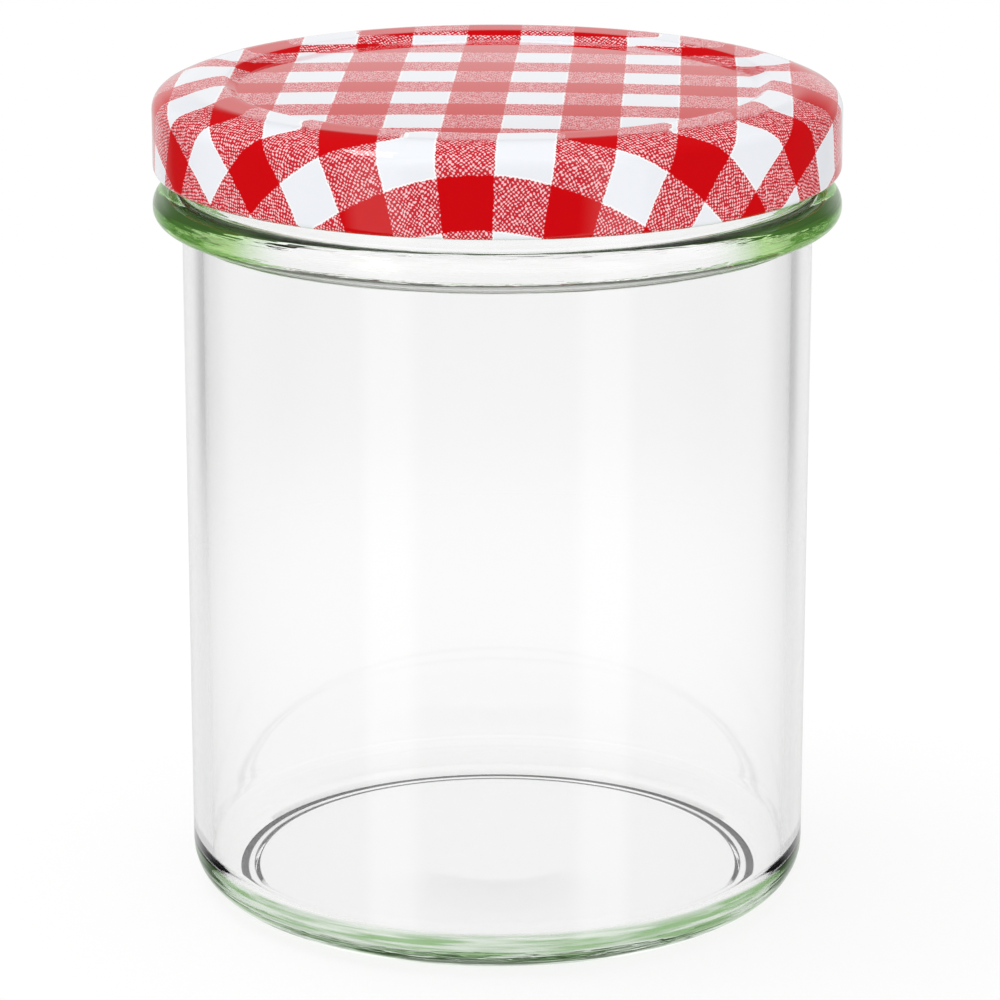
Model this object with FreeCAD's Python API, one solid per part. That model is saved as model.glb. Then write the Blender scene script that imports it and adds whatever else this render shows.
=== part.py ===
import FreeCAD, Part
import math
import os

# A straight-sided glass preserving jar, closed with an 82 mm twist-off lid.
# Millimetres, +Z up, origin at the centre of the ring that the jar stands on.

# glass body
bodyRadius = 39.2
rimHeight = 102.3
wallAtNeck = 2.8
wallAtFloor = 2.3
heelRadius = 5.2

# floor, crowned in the middle over the push-up underneath, which rises in two steps
floorThickness = 2.2
floorCorner = 4.6
floorDip = 0.9
floorBlend = 20.0
floorCrownRadius = 8.0
floorCrownRound = 100.0
standWidth = 0.5
pushUpSlope = 1.3
pushUpShelfHeight = 0.6
pushUpShelfWidth = 0.8
pushUpStepSlope = 0.7
pushUpHeight = 1.0
pushUpRound = 0.5
standRound = 0.3

# glass bead just under the lid
finishHeight = 11.7
beadHeight = 4.8
beadUndersideRise = 1.2
beadLowerRound = 1.6
beadUpperRound = 2.2
beadOverhang = 0.1
beadRootRound = 0.8
boreBlend = 40.0

# neck and its thread starts, one for each lug
neckStep = 0.45
neckRootRound = 0.45
rimOuterRound = 1.5
rimInnerRound = 1.2
threadCount = 6
threadReach = 1.35
threadRoot = 2.3
threadCrest = 1.1
threadCrestRound = 0.4
threadRootDepth = 1.0
threadArc = 46.0
threadRunOut = 5.0
threadAngle = 2.0

# tinplate lid
tinThickness = 0.25
lidSkirtGap = 1.45
lidEdgeGap = 2.0
panelInset = 4.1
panelRecess = 0.95
panelCrown = 0.45
panelEdgeFlat = 2.0
channelSlope = 1.5
channelInset = 0.75
channelRound = 6.0
shoulderDrop = 1.65
shoulderRound = 2.4
panelRound = 0.8
channelLipRound = 1.0
curlRadius = 0.8

# lugs, pressed out of the lid's curl
lugArc = 16.0
lugHold = 0.7
lugThickness = 1.2
lugRound = 0.4
lugTurn = 14.0
lugClearance = 0.12

# sealing ring in the lid's channel, squeezed on the rim
sealThickness = 0.95
sealInset = 1.7
sealOverhang = 0.75
sealRound = 0.3
sealClearance = 0.05

# sizes that follow
standInnerRadius = bodyRadius - heelRadius - standWidth
boreRadius = bodyRadius - wallAtNeck
neckRadius = bodyRadius + neckStep
lidRadius = neckRadius + threadReach + lidSkirtGap + tinThickness
beadReach = lidRadius + beadOverhang
beadTopHeight = rimHeight - finishHeight
shoulderHeight = beadTopHeight - beadHeight
lidEdgeHeight = beadTopHeight + lidEdgeGap
channelHeight = rimHeight + sealThickness + sealClearance + tinThickness
panelHeight = channelHeight - panelRecess
panelRadius = boreRadius - panelInset
channelEnd = neckRadius - channelInset
lugTip = neckRadius + threadReach - lugHold
lugTop = lidEdgeHeight + lugThickness

up = FreeCAD.Vector(0, 0, 1)
origin = FreeCAD.Vector(0, 0, 0)


def point(radius, height):
    return FreeCAD.Vector(radius, 0, height)


def filletPoints(before, corner, after, fillet):
    # where an arc leaves the first leg, its middle, and where it meets the second leg
    toBefore = (before - corner).normalize()
    toAfter = (after - corner).normalize()
    halfAngle = toBefore.getAngle(toAfter) / 2
    leg = fillet / math.tan(halfAngle)
    inward = (toBefore + toAfter).normalize()
    middle = corner + inward * (fillet / math.sin(halfAngle) - fillet)
    return corner + toBefore * leg, middle, corner + toAfter * leg


def roundedEdges(corners):
    # lines from one (radius, height, fillet) corner to the next, with an arc in each fillet
    places = [point(radius, height) for radius, height, fillet in corners]
    edges = []
    here = places[0]
    for index in range(1, len(corners)):
        fillet = corners[index][2]
        start = stop = places[index]
        arc = None
        if fillet > 0:
            start, middle, stop = filletPoints(places[index - 1], places[index], places[index + 1], fillet)
            arc = Part.Arc(start, middle, stop).toShape()
        if here.distanceToPoint(start) > 1e-6:
            edges.append(Part.makeLine(here, start))
        if arc:
            edges.append(arc)
        here = stop
    return edges


def revolved(corners, startAngle=0, sweep=360):
    # the first corner is a sharp one, and the outline closes on it
    outline = Part.Wire(roundedEdges(corners + corners[:1]))
    solid = Part.Face(outline).revolve(origin, up, sweep)
    solid.rotate(origin, up, startAngle)
    return solid


def jarBlank():
    floorHeight = pushUpHeight + floorThickness
    innerRadius = bodyRadius - wallAtFloor
    shelfRadius = standInnerRadius - pushUpSlope
    stepRadius = shelfRadius - pushUpShelfWidth
    return revolved([
        (0, pushUpHeight, 0),
        (stepRadius - pushUpStepSlope, pushUpHeight, pushUpRound),
        (stepRadius, pushUpShelfHeight, pushUpRound),
        (shelfRadius, pushUpShelfHeight, pushUpRound),
        (standInnerRadius, 0, standRound),
        (bodyRadius, 0, heelRadius),
        (bodyRadius, shoulderHeight, beadRootRound),
        (beadReach, shoulderHeight + beadUndersideRise, beadLowerRound),
        (beadReach, beadTopHeight, beadUpperRound),
        (neckRadius, beadTopHeight, neckRootRound),
        (neckRadius, rimHeight, rimOuterRound),
        (boreRadius, rimHeight, rimInnerRound),
        (boreRadius, shoulderHeight, boreBlend),
        (innerRadius, floorHeight - floorDip, floorCorner),
        (innerRadius - floorCorner - floorDip, floorHeight - floorDip, floorBlend),
        (floorCrownRadius, floorHeight, floorCrownRound),
        (0, floorHeight, 0),
    ])


def threadDrop(turn):
    # how far a thread's middle line has sunk, turn degrees clockwise of its centre
    return neckRadius * math.sin(math.radians(turn)) * math.tan(math.radians(threadAngle))


def threadHeight():
    # each lug sits under the low end of its thread, whose flank just clears the lug's tip
    tipShare = (lugTip - neckRadius) / threadReach
    flankBelow = threadRoot / 2 - tipShare * (threadRoot - threadCrest) / 2
    return lugTop + lugClearance + flankBelow + threadDrop(lugTurn + lugArc / 2)


def runOutPrism():
    # its slanted sides shorten a thread's crest, so that both ends run out into the neck
    rootHalf = math.radians(threadArc / 2)
    crestHalf = math.radians(threadArc / 2 - threadRunOut)
    inner = neckRadius - 2 * threadRootDepth
    outer = neckRadius + 2 * threadReach
    corners = [(inner, -rootHalf), (outer, -crestHalf), (2 * outer, 0), (outer, crestHalf), (inner, rootHalf)]
    places = [FreeCAD.Vector(reach * math.cos(angle), reach * math.sin(angle), 0) for reach, angle in corners]
    prism = Part.Face(Part.makePolygon(places + places[:1])).extrude(up * 2 * threadRoot)
    prism.translate(-up * threadRoot)
    return prism


def threadStart(turn):
    # the flanks run on into the neck, so that each thread grows out of it
    flankSlope = (threadRoot - threadCrest) / 2 / threadReach
    buriedHalf = threadRoot / 2 + threadRootDepth * flankSlope
    crestRadius = neckRadius + threadReach
    ring = revolved([
        (neckRadius - threadRootDepth, -buriedHalf, 0),
        (crestRadius, -threadCrest / 2, threadCrestRound),
        (crestRadius, threadCrest / 2, threadCrestRound),
        (neckRadius - threadRootDepth, buriedHalf, 0),
    ], -threadArc / 2, threadArc)
    start = ring.common(runOutPrism())
    start.rotate(origin, FreeCAD.Vector(1, 0, 0), threadAngle)
    start.translate(up * threadHeight())
    start.rotate(origin, up, turn)
    return start


def threadTurns():
    return [index * 360 / threadCount for index in range(threadCount)]


def glassJar():
    return jarBlank().fuse([threadStart(turn) for turn in threadTurns()])


def lidShell():
    # the panel is crowned, and the skirt ends in a curl: three quarters of a turn, rolled inwards
    crownFoot = panelRadius / 2
    crownTurn = math.atan2(panelCrown, crownFoot)
    crownRound = (crownFoot - panelEdgeFlat) / math.tan(crownTurn / 2)
    edges = roundedEdges([
        (0, panelHeight + panelCrown, 0),
        (crownFoot, panelHeight + panelCrown, crownRound),
        (panelRadius, panelHeight, panelRound),
        (panelRadius + channelSlope, channelHeight, channelLipRound),
        (channelEnd, channelHeight, channelRound),
        (lidRadius, channelHeight - shoulderDrop, shoulderRound),
        (lidRadius, lidEdgeHeight + curlRadius, 0),
    ])
    curlCentre = point(lidRadius - curlRadius, lidEdgeHeight + curlRadius)
    outerSide = curlCentre + point(curlRadius, 0)
    bottom = curlCentre + point(0, -curlRadius)
    innerSide = curlCentre + point(-curlRadius, 0)
    top = curlCentre + point(0, curlRadius)
    diagonal = curlRadius * math.sqrt(0.5)
    edges.append(Part.Arc(outerSide, curlCentre + point(diagonal, -diagonal), bottom).toShape())
    edges.append(Part.Arc(bottom, innerSide, top).toShape())
    section = Part.Wire(edges).makeOffset2D(-tinThickness, 2, True, True)
    return section.revolve(origin, up, 360)


def lug(turn):
    # a short stretch of the curl, pressed flat so that it reaches in under a thread
    middle = tinThickness / 2
    edge = lidEdgeHeight + middle
    buried = lidRadius - middle
    return revolved([
        (buried, lugTop, 0),
        (lugTip, lugTop, lugRound),
        (lugTip, edge, lugRound),
        (buried, edge, curlRadius - middle),
    ], turn - lugArc / 2, lugArc)


def twistOffLid():
    return lidShell().fuse([lug(turn - lugTurn) for turn in threadTurns()])


def sealingRing():
    # its top follows the tinplate from the channel's flat down the shoulder
    depth = tinThickness + sealClearance
    slope = math.atan2(shoulderDrop, lidRadius - channelEnd)
    topHeight = channelHeight - depth
    bend = channelEnd - depth * math.tan(slope / 2)
    outerRadius = neckRadius + sealOverhang
    outerHeight = topHeight - (outerRadius - bend) * math.tan(slope)
    innerRadius = boreRadius - sealInset
    return revolved([
        (outerRadius, rimHeight, 0),
        (outerRadius, outerHeight, 0),
        (bend, topHeight, channelRound - depth),
        (innerRadius, topHeight, sealRound),
        (innerRadius, rimHeight, sealRound),
    ])


nodes = {
    "glass_jar": glassJar(),
    "twist_off_lid": twistOffLid(),
    "sealing_ring": sealingRing(),
}
os.makedirs("parts", exist_ok=True)
for name, shape in nodes.items():
    shape.removeSplitter().Solids[0].exportStep("parts/" + name + ".step")
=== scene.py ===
import math
import bpy
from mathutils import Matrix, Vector
from mathutils.kdtree import KDTree


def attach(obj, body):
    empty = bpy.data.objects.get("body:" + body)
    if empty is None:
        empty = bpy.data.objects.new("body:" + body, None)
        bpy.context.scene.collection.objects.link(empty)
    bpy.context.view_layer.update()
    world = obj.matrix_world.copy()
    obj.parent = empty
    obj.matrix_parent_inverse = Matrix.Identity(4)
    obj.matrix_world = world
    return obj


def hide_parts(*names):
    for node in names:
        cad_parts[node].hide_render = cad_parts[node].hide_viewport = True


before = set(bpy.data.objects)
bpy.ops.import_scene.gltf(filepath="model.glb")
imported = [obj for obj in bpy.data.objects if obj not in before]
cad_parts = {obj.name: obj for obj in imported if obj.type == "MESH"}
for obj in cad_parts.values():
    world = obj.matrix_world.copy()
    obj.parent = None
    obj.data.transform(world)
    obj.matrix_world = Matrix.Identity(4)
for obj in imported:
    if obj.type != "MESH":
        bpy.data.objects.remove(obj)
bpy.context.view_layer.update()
bodyName = "root"
print("frame loaded")


def clearSelection():
    bpy.ops.object.select_all(action="DESELECT")


def onlySelected(piece):
    clearSelection()
    piece.select_set(True)
    bpy.context.view_layer.objects.active = piece


def turnAbout(axis, degrees):
    # with no window, transform.rotate turns the other way
    bpy.ops.transform.rotate(value=-math.radians(degrees), orient_axis=axis, center_override=(0, 0, 0))


def roundedOutline(corners, turnPerStep=9.0, fewestSteps=6):
    # straight lines from corner to corner, with an arc of short lines in each round
    points = [Vector(corners[0][:2])]
    for before, corner, after in zip(corners, corners[1:], corners[2:]):
        here = Vector(corner[:2])
        back = (Vector(before[:2]) - here).normalized()
        ahead = (Vector(after[:2]) - here).normalized()
        turn = math.pi - back.angle(ahead)
        if corner[2] == 0:
            points.append(here)
            continue
        start = here + back * corner[2] * math.tan(turn / 2)
        centre = here + (back + ahead).normalized() * corner[2] / math.cos(turn / 2)
        side = 1 if back.cross(ahead) < 0 else -1
        steps = max(fewestSteps, round(math.degrees(turn) / turnPerStep))
        arm = start - centre
        for step in range(steps + 1):
            angle = side * turn * step / steps
            across = arm.x * math.cos(angle) - arm.y * math.sin(angle)
            rise = arm.x * math.sin(angle) + arm.y * math.cos(angle)
            points.append(centre + Vector((across, rise)))
    points.append(Vector(corners[-1][:2]))
    return points


def drawn(name, points):
    # one corner, pulled from point to point; the piece stays in edit mode
    clearSelection()
    bpy.ops.mesh.primitive_plane_add(size=0.001, location=(0, 0, 0))
    piece = bpy.context.object
    piece.name = name
    piece.data.name = name
    bpy.ops.object.mode_set(mode="EDIT")
    bpy.ops.mesh.select_all(action="SELECT")
    bpy.ops.mesh.merge(type="CENTER")
    bpy.ops.transform.translate(value=(points[0].x / 1000, 0, points[0].y / 1000))
    for before, here in zip(points, points[1:]):
        step = (here - before) / 1000
        bpy.ops.mesh.extrude_region_move(TRANSFORM_OT_translate={"value": (step.x, 0, step.y)})
    bpy.ops.mesh.select_all(action="SELECT")
    return piece


def closeUp():
    bpy.ops.mesh.select_all(action="SELECT")
    bpy.ops.mesh.remove_doubles(threshold=1e-6)
    bpy.ops.mesh.normals_make_consistent(inside=False)


def turned(name, points, around):
    piece = drawn(name, points)
    bpy.ops.mesh.spin(steps=around, angle=2 * math.pi, center=(0, 0, 0), axis=(0, 0, 1))
    closeUp()
    bpy.ops.object.mode_set(mode="OBJECT")
    return piece


def sector(name, points, arc, steps):
    # a closed outline swept part of the way round, middled on the X axis; it stays in edit mode
    piece = drawn(name, points)
    bpy.ops.mesh.edge_face_add()
    turnAbout("Z", arc / 2)
    bpy.ops.mesh.spin(steps=steps, angle=math.radians(arc), center=(0, 0, 0), axis=(0, 0, 1))
    closeUp()
    return piece


def placedRound(piece, count, firstTurn):
    # copies at equal turns, each with its own mesh, joined into one
    bpy.ops.object.mode_set(mode="OBJECT")
    copies = []
    for index in range(count):
        onlySelected(piece)
        bpy.ops.object.duplicate()
        copy = bpy.context.object
        bpy.ops.object.mode_set(mode="EDIT")
        bpy.ops.mesh.select_all(action="SELECT")
        turnAbout("Z", firstTurn + index * 360 / count)
        bpy.ops.object.mode_set(mode="OBJECT")
        copies.append(copy)
    bpy.data.objects.remove(piece)
    onlySelected(copies[0])
    for copy in copies:
        copy.select_set(True)
    bpy.ops.object.join()
    return bpy.context.object


def united(piece, other):
    modifier = piece.modifiers.new("union", "BOOLEAN")
    modifier.operation = "UNION"
    modifier.solver = "EXACT"
    modifier.object = other
    onlySelected(piece)
    bpy.ops.object.modifier_apply(modifier=modifier.name)
    bpy.data.objects.remove(other)


def smoothed(piece, angle=35.0):
    onlySelected(piece)
    bpy.ops.object.shade_smooth_by_angle(angle=math.radians(angle))


# nodes, the same few steps in every material

def newMaterial(name):
    material = bpy.data.materials.new(name)
    material.use_nodes = True
    return material, material.node_tree, material.node_tree.nodes["Principled BSDF"]


def feed(tree, socket, value):
    if isinstance(value, bpy.types.NodeSocket):
        tree.links.new(value, socket)
    else:
        socket.default_value = value


def maths(tree, operation, *values):
    node = tree.nodes.new("ShaderNodeMath")
    node.operation = operation
    for socket, value in zip(node.inputs, values):
        feed(tree, socket, value)
    return node.outputs[0]


def ramp(tree, value, low, high, start=0.0, stop=1.0):
    # a smooth step from start to stop as the value goes from low to high
    node = tree.nodes.new("ShaderNodeMapRange")
    node.interpolation_type = "SMOOTHSTEP"
    feed(tree, node.inputs["Value"], value)
    feed(tree, node.inputs["From Min"], low)
    feed(tree, node.inputs["From Max"], high)
    feed(tree, node.inputs["To Min"], start)
    feed(tree, node.inputs["To Max"], stop)
    return node.outputs["Result"]


def blend(tree, share, first, second):
    node = tree.nodes.new("ShaderNodeMix")
    node.data_type = "RGBA"
    feed(tree, node.inputs[0], share)
    feed(tree, node.inputs[6], first)
    feed(tree, node.inputs[7], second)
    return node.outputs[2]


def noise(tree, place, scale, detail=2.0, output="Fac"):
    node = tree.nodes.new("ShaderNodeTexNoise")
    feed(tree, node.inputs["Vector"], place)
    feed(tree, node.inputs["Scale"], scale)
    node.inputs["Detail"].default_value = detail
    return node.outputs[output]


def bump(tree, height, distance, strength=1.0):
    node = tree.nodes.new("ShaderNodeBump")
    feed(tree, node.inputs["Height"], height)
    node.inputs["Distance"].default_value = distance
    node.inputs["Strength"].default_value = strength
    return node.outputs["Normal"]


def objectPlace(tree):
    return tree.nodes.new("ShaderNodeTexCoord").outputs["Object"]


def split(tree, place):
    node = tree.nodes.new("ShaderNodeSeparateXYZ")
    feed(tree, node.inputs[0], place)
    return node.outputs


view = {
    "distance": 0.55,
    "height": 0.2075,
    "pitch": 16.04,
    "turn": -0.034,
    "lens": 162.4,
    "sensor": 36.0,
}


def makeCamera():
    place = (0, -view["distance"], view["height"])
    facing = (math.radians(90 - view["pitch"]), 0, math.radians(view["turn"]))
    bpy.ops.object.camera_add(location=place, rotation=facing)
    camera = bpy.context.object
    camera.data.sensor_width = view["sensor"]
    camera.data.lens = view["lens"]
    camera.data.clip_start = 0.01
    bpy.context.scene.camera = camera


def reflected(tree, path):
    # a ray bent by smooth glass counts as glossy too
    return maths(tree, "GREATER_THAN", maths(tree, "SUBTRACT", path["Is Glossy Ray"],
                                             path["Is Transmission Ray"]), 0.5)


surround = {
    "wallHalfAngle": 32.0,  # half the width of each bright wall round the jar
    "wallSoftness": 6.0,
    "bright": 1.0,
    "gap": 0.65,  # level between the bright walls
    "front": 0.15,  # level of the dim side that glass sees towards the camera
    "glassAlong": (-0.5, 0.9),
    "glassDark": 0.42,  # nothing seen through glass is darker than this
    "deepPath": 3.5,  # past this many crossings glass sees plain white
    "glossAlong": (0.70, 0.97),
    "glossFront": 0.05,
    "glossBack": 0.70,
    "glossRise": (0.12, 0.40),
    "window": (-0.90, -0.82, -0.70, -0.60),
    "windowLevel": 0.8,
}


def makeWorld():
    world = bpy.data.worlds.new("studio")
    bpy.context.scene.world = world
    world.use_nodes = True
    tree = world.node_tree
    tree.nodes.clear()
    output = tree.nodes.new("ShaderNodeOutputWorld")
    path = tree.nodes.new("ShaderNodeLightPath").outputs
    direction = split(tree, tree.nodes.new("ShaderNodeTexCoord").outputs["Generated"])
    flat = maths(tree, "SQRT", maths(tree, "ADD", maths(tree, "POWER", direction["X"], 2.0),
                                     maths(tree, "POWER", direction["Y"], 2.0)))
    along = maths(tree, "DIVIDE", direction["Y"], flat)
    across = maths(tree, "DIVIDE", direction["X"], flat)
    axis = maths(tree, "MAXIMUM", maths(tree, "ABSOLUTE", along), maths(tree, "ABSOLUTE", across))
    outer = math.cos(math.radians(surround["wallHalfAngle"] + surround["wallSoftness"]))
    inner = math.cos(math.radians(surround["wallHalfAngle"] - surround["wallSoftness"]))
    walls = ramp(tree, axis, outer, inner, surround["gap"], surround["bright"])
    # glass sees bright walls and a dim front, and plain white after many crossings
    deep = maths(tree, "GREATER_THAN", path["Transmission Depth"], surround["deepPath"])
    behind = ramp(tree, along, *surround["glassAlong"], surround["front"] - 1, 0.0)
    through = maths(tree, "ADD", maths(tree, "MAXIMUM", walls, deep), behind)
    through = maths(tree, "MAXIMUM", through, surround["glassDark"])
    # gloss sees a low bright wall behind and two tall windows beside the camera
    back = maths(tree, "MULTIPLY", ramp(tree, along, *surround["glossAlong"], 0.0, surround["glossBack"]),
                 ramp(tree, direction["Z"], *surround["glossRise"], 1.0, 0.0))
    near = ramp(tree, along, *surround["window"][:2], 0.0, surround["windowLevel"])
    window = maths(tree, "MULTIPLY", near, ramp(tree, along, *surround["window"][2:], 1.0, 0.0))
    gloss = maths(tree, "ADD", maths(tree, "ADD", back, window), surround["glossFront"])
    isThrough = path["Is Transmission Ray"]
    isGloss = reflected(tree, path)
    level = maths(tree, "ADD", maths(tree, "MULTIPLY", isThrough, through),
                  maths(tree, "MULTIPLY", isGloss, gloss))
    plain = maths(tree, "SUBTRACT", maths(tree, "SUBTRACT", 1.0, isThrough), isGloss)
    sky = tree.nodes.new("ShaderNodeBackground")
    sky.inputs["Color"].default_value = (1, 1, 1, 1)
    feed(tree, sky.inputs["Strength"], maths(tree, "ADD", level, plain))
    tree.links.new(sky.outputs[0], output.inputs["Surface"])


softbox = {
    "place": (-0.30, 0.06, 0.85),
    "aim": (-0.02, -0.03, 0.10),
    "length": 0.42,
    "width": 0.12,
    "power": 1.3,
}


def makeLamp():
    bpy.ops.object.light_add(type="AREA", location=softbox["place"])
    lamp = bpy.context.object
    lamp.name = "softbox"
    lamp.data.shape = "RECTANGLE"
    lamp.data.size = softbox["length"]
    lamp.data.size_y = softbox["width"]
    lamp.data.energy = softbox["power"]
    away = Vector(softbox["place"]) - Vector(softbox["aim"])
    lamp.rotation_euler = away.to_track_quat("Z", "Y").to_euler()


ground = {
    "size": 0.8,
    "fade": (0.12, 0.38),  # the floor melts into the white between these radii
    "paint": 1.0,
    "glow": 0.82,
    "through": 0.9,
}


def makeFloor():
    clearSelection()
    bpy.ops.mesh.primitive_plane_add(size=ground["size"], location=(0, 0, 0))
    floor = bpy.context.object
    floor.name = "floor"
    material, tree = newMaterial("floor_white")[:2]
    tree.nodes.clear()
    output = tree.nodes.new("ShaderNodeOutputMaterial")
    path = tree.nodes.new("ShaderNodeLightPath").outputs
    paint = tree.nodes.new("ShaderNodeBsdfDiffuse")
    level = ground["paint"]
    paint.inputs["Color"].default_value = (level, level, level, 1)
    glow = tree.nodes.new("ShaderNodeEmission")
    glow.inputs["Color"].default_value = (1, 1, 1, 1)
    clear = tree.nodes.new("ShaderNodeBsdfTransparent")
    # seen directly or through the glass the floor is mostly its own white
    seen = maths(tree, "MULTIPLY", path["Is Camera Ray"], ground["glow"])
    through = maths(tree, "MULTIPLY", path["Is Transmission Ray"], ground["through"])
    mix = tree.nodes.new("ShaderNodeMixShader")
    feed(tree, mix.inputs[0], maths(tree, "ADD", seen, through))
    tree.links.new(paint.outputs[0], mix.inputs[1])
    tree.links.new(glow.outputs[0], mix.inputs[2])
    distance = tree.nodes.new("ShaderNodeVectorMath")
    distance.operation = "LENGTH"
    tree.links.new(objectPlace(tree), distance.inputs[0])
    edge = tree.nodes.new("ShaderNodeMixShader")
    fade = ramp(tree, distance.outputs["Value"], *ground["fade"])
    feed(tree, edge.inputs[0], maths(tree, "MAXIMUM", fade, reflected(tree, path)))
    tree.links.new(mix.outputs[0], edge.inputs[1])
    tree.links.new(clear.outputs[0], edge.inputs[2])
    tree.links.new(edge.outputs[0], output.inputs["Surface"])
    floor.data.materials.append(material)


glassLook = {
    "ior": 1.52,
    "clear": (1, 1, 1, 1),
    "sideTint": (0.22, 0.42, 0.10, 1),
    "heelTint": (0.10, 0.22, 0.07, 1),
    "heelGlow": (0.035, 0.075, 0.025, 1),
    "footTop": (0.0008, 0.0014),
    "footGlow": (0.34, 0.40, 0.31, 1),
    "streakScale": (80, 80, 1500),
    "streakRange": (0.36, 0.60, 0.50, 1.0),
    "streakDepth": 0.0001,
    "beadGlow": (0.045, 0.105, 0.022, 1),
    "bead": (0.0854, 0.0862, 0.0902, 0.0908),
    "heelFoot": (0.0004, 0.0016),
    "heelTop": (0.0046, 0.0070),
    "heelEnds": (0.0070, 0.0110),
    "outerSide": (0.0330, 0.0337),
    "sideStart": 0.22,
    "sideFull": 0.40,
}


def glassMaterial():
    material, tree, shader = newMaterial("clear_glass")
    place = objectPlace(tree)
    axes = split(tree, place)
    # thick glass is green where the eye looks along it, at the bead's ends and in the heel
    bead = maths(tree, "MULTIPLY", ramp(tree, axes["Z"], *glassLook["bead"][:2]),
                 ramp(tree, axes["Z"], *glassLook["bead"][2:], 1.0, 0.0))
    outward = tree.nodes.new("ShaderNodeVectorMath")
    outward.operation = "MULTIPLY"
    tree.links.new(place, outward.inputs[0])
    outward.inputs[1].default_value = (1, 1, 0)
    straight = tree.nodes.new("ShaderNodeVectorMath")
    straight.operation = "NORMALIZE"
    tree.links.new(outward.outputs[0], straight.inputs[0])
    facing = tree.nodes.new("ShaderNodeLayerWeight")
    facing.inputs["Blend"].default_value = 0.5
    tree.links.new(straight.outputs[0], facing.inputs["Normal"])
    side = ramp(tree, facing.outputs["Facing"], glassLook["sideStart"], glassLook["sideFull"])
    thick = maths(tree, "MULTIPLY", bead, side)
    colour = blend(tree, thick, glassLook["clear"], glassLook["sideTint"])
    radius = tree.nodes.new("ShaderNodeVectorMath")
    radius.operation = "LENGTH"
    tree.links.new(outward.outputs[0], radius.inputs[0])
    heel = maths(tree, "MULTIPLY", ramp(tree, axes["Z"], *glassLook["heelTop"], 1.0, 0.0),
                 ramp(tree, axes["Z"], *glassLook["heelFoot"]))
    outer = ramp(tree, maths(tree, "SUBTRACT", radius.outputs["Value"], axes["Z"]), *glassLook["outerSide"])
    ends = maths(tree, "MULTIPLY", ramp(tree, axes["Z"], *glassLook["heelEnds"], 1.0, 0.0), side)
    heel = maths(tree, "MULTIPLY", maths(tree, "MAXIMUM", heel, ends), outer)
    behind = tree.nodes.new("ShaderNodeNewGeometry").outputs["Backfacing"]
    heel = maths(tree, "MULTIPLY", heel, maths(tree, "SUBTRACT", 1.0, behind))
    # long uneven streaks run round the heel and the bead
    scaled = tree.nodes.new("ShaderNodeVectorMath")
    scaled.operation = "MULTIPLY"
    tree.links.new(place, scaled.inputs[0])
    scaled.inputs[1].default_value = glassLook["streakScale"]
    streak = noise(tree, scaled.outputs[0], 1.0, 2.0)
    streaky = ramp(tree, streak, *glassLook["streakRange"])
    shade = maths(tree, "MULTIPLY", heel, streaky)
    colour = blend(tree, shade, colour, glassLook["heelTint"])
    tree.links.new(colour, shader.inputs["Base Color"])
    foot = maths(tree, "MULTIPLY", ramp(tree, axes["Z"], *glassLook["footTop"], 1.0, 0.0), outer)
    foot = maths(tree, "MULTIPLY", foot, maths(tree, "SUBTRACT", 1.0, behind))
    # painted light: light is lost in thick glass after many crossings, so a weak green glow stands in for
    # it at the bead's ends and in the heel, and a much stronger pale green glow stands in for it at the
    # foot
    glow = blend(tree, thick, (0, 0, 0, 1), glassLook["beadGlow"])
    glow = blend(tree, heel, glow, glassLook["heelGlow"])
    glow = blend(tree, foot, glow, glassLook["footGlow"])
    tree.links.new(glow, shader.inputs["Emission Color"])
    shader.inputs["Emission Strength"].default_value = 1.0
    worn = maths(tree, "MULTIPLY", streak, maths(tree, "MAXIMUM", heel, bead))
    tree.links.new(bump(tree, worn, glassLook["streakDepth"]), shader.inputs["Normal"])
    shader.inputs["Roughness"].default_value = 0.0
    shader.inputs["IOR"].default_value = glassLook["ior"]
    shader.inputs["Transmission Weight"].default_value = 1.0
    return material


# millimetres on the print: where the white stripes lie, and how their edges and dots wander
check = {
    "turn": -2.54,
    "columnPitch": 14.0,
    "columnMiddle": 5.1,
    "columnWhite": 7.0,
    "rowPitch": 13.74,
    "rowMiddle": 4.015,
    "rowWhite": 7.23,
    "edge": 0.05,
    "outline": (0.16, 0.256),
    "serration": 0.05,
    "serrationPitch": 0.5,
    "wander": 0.35,
    "wanderScale": 0.9,
    "dotPitch": 0.62,
    "dotWander": 1.0,
    "dotWanderScale": 0.7,
    "patchScale": 1.3,
    "patchDepth": 4.5,
    "dotRange": (0.0, 1.3),
    "red": (0.62, 0.0015, 0.004, 1),
    "white": (0.86, 0.88, 0.92, 1),
    "whiteEdge": (0.98, 0.98, 0.98, 1),
    "halfGround": (0.60, 0.022, 0.035, 1),
    "halfDot": (0.96, 0.62, 0.64, 1),
}


def stripeDistance(tree, place, middle, pitch):
    # how far from the middle of the nearest white stripe
    return maths(tree, "ABSOLUTE", maths(tree, "WRAP", maths(tree, "SUBTRACT", place, middle),
                                         pitch / 2, -pitch / 2))


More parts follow.
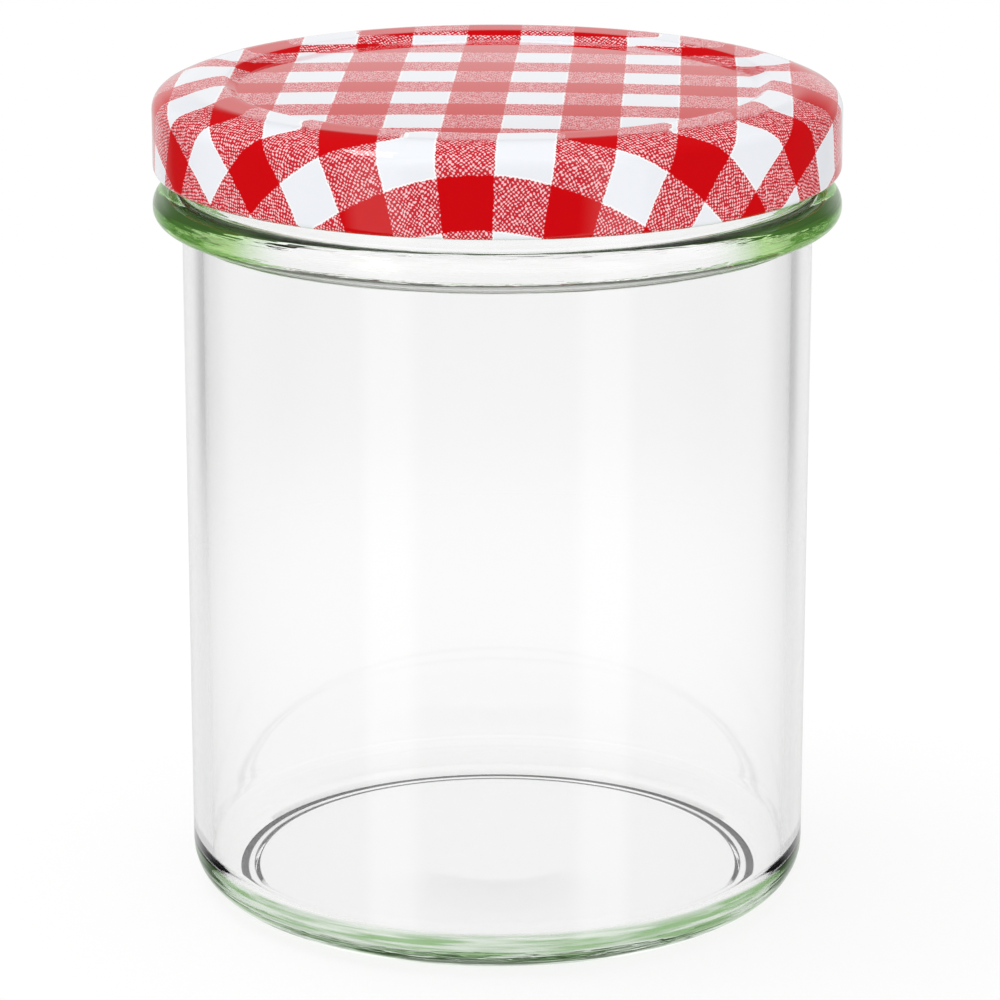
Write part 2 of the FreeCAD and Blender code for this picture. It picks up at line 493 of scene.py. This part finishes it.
def printMaterial():
    material, tree, shader = newMaterial("check_print")
    laid = tree.nodes.new("ShaderNodeAttribute")
    laid.attribute_name = "printPlace"
    axes = split(tree, laid.outputs["Vector"])
    u, v = axes["X"], axes["Y"]
    joined = tree.nodes.new("ShaderNodeCombineXYZ")
    tree.links.new(u, joined.inputs["X"])
    tree.links.new(maths(tree, "SUBTRACT", v, axes["Z"]), joined.inputs["Y"])
    place = joined.outputs[0]
    saw = 2 * math.pi / check["serrationPitch"]
    wander = noise(tree, place, check["wanderScale"], 3.0)
    wander = maths(tree, "MULTIPLY", maths(tree, "SUBTRACT", wander, 0.5), check["wander"])
    edges = []
    for own, other in ((u, v), (v, u)):
        teeth = maths(tree, "SINE", maths(tree, "MULTIPLY", other, saw))
        toothed = maths(tree, "ADD", own, maths(tree, "MULTIPLY", teeth, check["serration"]))
        edges.append(maths(tree, "ADD", toothed, wander))
    uEdge, vEdge = edges
    columnGap = stripeDistance(tree, uEdge, check["columnMiddle"], check["columnPitch"])
    rowGap = stripeDistance(tree, vEdge, check["rowMiddle"], check["rowPitch"])
    edge = check["edge"]
    columnEdge = check["columnWhite"] / 2
    rowEdge = check["rowWhite"] / 2
    redColumn = ramp(tree, columnGap, columnEdge - edge, columnEdge + edge)
    redRow = ramp(tree, rowGap, rowEdge - edge, rowEdge + edge)
    both = maths(tree, "MULTIPLY", redColumn, redRow)
    either = maths(tree, "MAXIMUM", redColumn, redRow)
    # the half-tone squares are a slanting screen of pale dots that wanders
    shake = tree.nodes.new("ShaderNodeVectorMath")
    shake.operation = "SCALE"
    tree.links.new(noise(tree, place, check["dotWanderScale"], 2.0, "Color"), shake.inputs[0])
    shake.inputs["Scale"].default_value = check["dotWander"]
    shaken = tree.nodes.new("ShaderNodeVectorMath")
    shaken.operation = "ADD"
    tree.links.new(place, shaken.inputs[0])
    tree.links.new(shake.outputs[0], shaken.inputs[1])
    dots = split(tree, shaken.outputs[0])
    turnsPerLength = 2 * math.pi / check["dotPitch"]
    waves = []
    for slant in ("ADD", "SUBTRACT"):
        length = maths(tree, slant, dots["X"], dots["Y"])
        waves.append(maths(tree, "COSINE", maths(tree, "MULTIPLY", length, turnsPerLength)))
    screen = maths(tree, "ADD", *waves)
    patchy = noise(tree, place, check["patchScale"], 2.0)
    patchy = maths(tree, "MULTIPLY", maths(tree, "SUBTRACT", patchy, 0.5), check["patchDepth"])
    dot = ramp(tree, maths(tree, "ADD", screen, patchy), *check["dotRange"])
    half = blend(tree, dot, check["halfGround"], check["halfDot"])
    # a thin bright line runs round each white square
    whiteGap = maths(tree, "MINIMUM", maths(tree, "SUBTRACT", columnEdge, columnGap),
                     maths(tree, "SUBTRACT", rowEdge, rowGap))
    line = ramp(tree, whiteGap, *check["outline"], 1.0, 0.0)
    white = blend(tree, line, check["white"], check["whiteEdge"])
    colour = blend(tree, either, white, half)
    colour = blend(tree, both, colour, check["red"])
    tree.links.new(colour, shader.inputs["Base Color"])
    shader.inputs["Roughness"].default_value = 0.45
    shader.inputs["Specular IOR Level"].default_value = 0.0
    shader.inputs["Coat Weight"].default_value = 1.0
    shader.inputs["Coat Roughness"].default_value = 0.03
    return material


def mottleGroup():
    # a cloudy mix of two colours with a fine grain, shared by the enamel and the sealing ring
    group = bpy.data.node_groups.new("mottle", "ShaderNodeTree")
    inputs = {
        "Place": "NodeSocketVector",
        "Dark": "NodeSocketColor",
        "Light": "NodeSocketColor",
        "Cloud Scale": "NodeSocketFloat",
        "Grain Scale": "NodeSocketFloat",
    }
    for name, kind in inputs.items():
        group.interface.new_socket(name, in_out="INPUT", socket_type=kind)
    group.interface.new_socket("Colour", in_out="OUTPUT", socket_type="NodeSocketColor")
    group.interface.new_socket("Grain", in_out="OUTPUT", socket_type="NodeSocketFloat")
    given = group.nodes.new("NodeGroupInput").outputs
    made = group.nodes.new("NodeGroupOutput").inputs
    cloud = noise(group, given["Place"], given["Cloud Scale"], 3.0)
    grain = noise(group, given["Place"], given["Grain Scale"], 2.0)
    group.links.new(blend(group, cloud, given["Dark"], given["Light"]), made["Colour"])
    group.links.new(grain, made["Grain"])
    return group


def mottled(name, group, finish):
    material, tree, shader = newMaterial(name)
    mottle = tree.nodes.new("ShaderNodeGroup")
    mottle.node_tree = group
    tree.links.new(objectPlace(tree), mottle.inputs["Place"])
    mottle.inputs["Dark"].default_value = finish["dark"]
    mottle.inputs["Light"].default_value = finish["light"]
    mottle.inputs["Cloud Scale"].default_value = finish["cloudScale"]
    mottle.inputs["Grain Scale"].default_value = finish["grainScale"]
    tree.links.new(mottle.outputs["Colour"], shader.inputs["Base Color"])
    grain = bump(tree, mottle.outputs["Grain"], finish["grainDepth"], finish["grainStrength"])
    tree.links.new(grain, shader.inputs["Normal"])
    shader.inputs["Roughness"].default_value = finish["roughness"]
    return material


enamel = {
    "dark": (0.80, 0.80, 0.77, 1),
    "light": (0.88, 0.88, 0.86, 1),
    "cloudScale": 400.0,
    "grainScale": 900.0,
    "grainDepth": 0.00002,
    "grainStrength": 0.4,
    "roughness": 0.35,
}

compound = {
    "dark": (0.74, 0.72, 0.68, 1),
    "light": (0.82, 0.80, 0.76, 1),
    "cloudScale": 250.0,
    "grainScale": 1500.0,
    "grainDepth": 0.00004,
    "grainStrength": 0.4,
    "roughness": 0.5,
}


# millimetres: radius, height and the round on each corner
jar = {
    "outline": [
        (0, 1.0, 0), (30.7, 1.0, 0.5), (31.4, 0.6, 0.5), (32.2, 0.6, 0.5), (33.5, 0, 0.3),
        (39.2, 0, 5.2), (39.2, 85.8, 0.8), (42.8, 87.0, 1.6), (42.8, 90.6, 2.2), (39.65, 90.6, 0.45),
        (39.65, 102.3, 1.5), (36.4, 102.3, 1.2), (36.4, 85.8, 40), (36.9, 2.3, 4.6), (31.4, 2.3, 20),
        (8, 3.2, 100), (0, 3.2, 0),
    ],
    "around": 256,
    "neckRadius": 39.65,
    "ridgeOutline": [(38.65, -1.446, 0), (41.0, -0.55, 0.4), (41.0, 0.55, 0.4), (38.65, 1.446, 0)],
    "ridgeReach": 1.35,
    "ridgeHeight": 95.3,
    "ridgeArc": 46.0,
    "ridgeRunOut": 5.0,
    "ridgeSlope": 2.0,
    "ridgeSteps": 28,
    "ridgeSpare": 10.0,  # swept this much further, then cut back on the slant
    "ridgeCutDepth": 2.0,
    "ridges": 6,
}


def makeJar():
    points = roundedOutline(jar["outline"])
    piece = turned("jar_body", points, jar["around"])
    ridge = sector("thread_ridge", roundedOutline(jar["ridgeOutline"]), jar["ridgeArc"] + jar["ridgeSpare"],
                   jar["ridgeSteps"])
    inner = Vector((jar["neckRadius"] - jar["ridgeCutDepth"], 0))
    outer = Vector((jar["neckRadius"] + 2 * jar["ridgeReach"], 0))
    rootTurn = math.radians(jar["ridgeArc"] / 2)
    crestTurn = rootTurn - math.radians(jar["ridgeRunOut"])
    root = Vector((inner.x * math.cos(rootTurn), inner.x * math.sin(rootTurn)))
    crest = Vector((outer.x * math.cos(crestTurn), outer.x * math.sin(crestTurn)))
    leg = crest - root
    for mirrored in (1, -1):
        bpy.ops.mesh.select_all(action="SELECT")
        bpy.ops.mesh.bisect(plane_co=(root.x / 1000, mirrored * root.y / 1000, 0),
                            plane_no=(-leg.y, mirrored * leg.x, 0), use_fill=True, clear_outer=True)
    bpy.ops.mesh.select_all(action="SELECT")
    turnAbout("X", jar["ridgeSlope"])
    bpy.ops.transform.translate(value=(0, 0, jar["ridgeHeight"] / 1000))
    ridges = placedRound(ridge, jar["ridges"], 0)
    united(piece, ridges)
    smoothed(piece)
    piece.data.materials.append(glassMaterial())
    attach(piece, bodyName)
    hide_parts("glass_jar")
    print("jar made:", len(piece.data.polygons), "faces")


# millimetres, as for the jar; the spare points on the flats carry the print
lid = {
    "outline": [
        (0, 103.05, 0), (16.15, 103.05, 1015.5), (32.3, 102.6, 0.8), (33.8, 103.55, 1.0),
        (35.2, 103.55, 0), (36.3, 103.55, 0), (37.4, 103.55, 0), (38.9, 103.55, 6), (42.7, 101.9, 2.4),
        (42.7, 99.0, 0), (42.7, 96.0, 0), (42.7, 93.4, 0),
    ],
    "around": 256,
    "tin": 0.25,
    "curlRadius": 0.8,
    "curlCentre": (41.9, 93.4),
    "curlTurn": 270.0,
    "curlStep": 15.0,
    "lugOutline": [
        (42.575, 93.8, 0), (40.3, 93.8, 0.4), (40.3, 92.725, 0.4), (42.575, 92.725, 0.67),
        (42.575, 93.4, 0),
    ],
    "lugArc": 16.0,
    "lugTurn": 14.0,
    "lugSteps": 8,
    "lugs": 6,
}


def curlPoints():
    points = []
    steps = round(lid["curlTurn"] / lid["curlStep"])
    for step in range(1, steps + 1):
        angle = -math.radians(lid["curlTurn"] * step / steps)
        arm = lid["curlRadius"] * Vector((math.cos(angle), math.sin(angle)))
        points.append(Vector(lid["curlCentre"]) + arm)
    return points


# pressing the channel and skirt drags the rows of the print back by this many millimetres
drag = {
    "front": 5.8,
    "frontArc": (34.0, 40.0),
    "frontMiddle": 0.38,
    "frontMiddlePower": 12,
    "frontBlend": (-0.25, 0.05),
    "rear": 5.5,
    "rearArc": (32.5, 34.2),
    "rearEase": (35.0, 39.0, 0.6),
    "rearBlend": (0.1, 0.4),
    "sideSpread": (34.0, 46.0, 0.03),
}


def eased(value, low, high):
    share = min(max((value - low) / (high - low), 0), 1)
    return share * share * (3 - 2 * share)


def printPlace(arc, direction):
    # where a point of the lid lies in the print, and how far its row was dragged
    turn = direction - math.radians(check["turn"])
    across = arc * math.cos(turn)
    along = arc * math.sin(turn)
    rise = math.sin(turn)
    middle = drag["frontMiddle"] * max(-rise, 0) ** drag["frontMiddlePower"]
    front = drag["front"] * eased(arc, *drag["frontArc"]) * (1 - middle)
    easeFrom, easeTo, ease = drag["rearEase"]
    rear = drag["rear"] * eased(arc, *drag["rearArc"]) * (1 - ease * eased(arc, easeFrom, easeTo))
    shift = front * eased(-rise, *drag["frontBlend"]) + rear * eased(rise, *drag["rearBlend"])
    spreadFrom, spreadTo, spread = drag["sideSpread"]
    across *= 1 + spread * eased(abs(across), spreadFrom, spreadTo)
    return (across, along + shift, shift)


def layPrint(piece, points):
    tree = KDTree(len(points))
    arcs = [0.0]
    for before, here in zip(points, points[1:]):
        arcs.append(arcs[-1] + (here - before).length)
    for index, here in enumerate(points):
        tree.insert((here.x, here.y, 0), index)
    tree.balance()
    places = piece.data.attributes.new("printPlace", "FLOAT_VECTOR", "POINT")
    for vertex, place in zip(piece.data.vertices, places.data):
        radius = math.hypot(vertex.co.x, vertex.co.y)
        found, index, distance = tree.find((radius * 1000, vertex.co.z * 1000, 0))
        place.vector = printPlace(arcs[index], math.atan2(vertex.co.y, vertex.co.x))


def makeLid(inside):
    points = roundedOutline(lid["outline"]) + curlPoints()
    piece = turned("printed_lid", points, lid["around"])
    materials = (printMaterial(), inside)
    for material in materials:
        piece.data.materials.append(material)
    wall = piece.modifiers.new("tinplate", "SOLIDIFY")
    wall.thickness = lid["tin"] / 1000
    wall.offset = -1
    wall.use_even_offset = True
    wall.material_offset = 1
    wall.material_offset_rim = 1
    onlySelected(piece)
    bpy.ops.object.modifier_apply(modifier=wall.name)
    lug = sector("lid_lug", roundedOutline(lid["lugOutline"]), lid["lugArc"], lid["lugSteps"])
    lugs = placedRound(lug, lid["lugs"], -lid["lugTurn"])
    for material in materials:
        lugs.data.materials.append(material)
    for polygon in lugs.data.polygons:
        polygon.material_index = 1
    united(piece, lugs)
    layPrint(piece, points)
    smoothed(piece)
    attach(piece, bodyName)
    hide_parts("twist_off_lid")
    print("lid made:", len(piece.data.polygons), "faces")


makeCamera()
makeWorld()
makeFloor()
makeLamp()
print("studio made")
mottle = mottleGroup()
makeJar()
makeLid(mottled("white_enamel", mottle, enamel))
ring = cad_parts["sealing_ring"]
ring.material_slots[0].material = mottled("sealing_compound", mottle, compound)
print("sealing ring finished")

bpy.context.scene.view_settings.view_transform = "Standard"
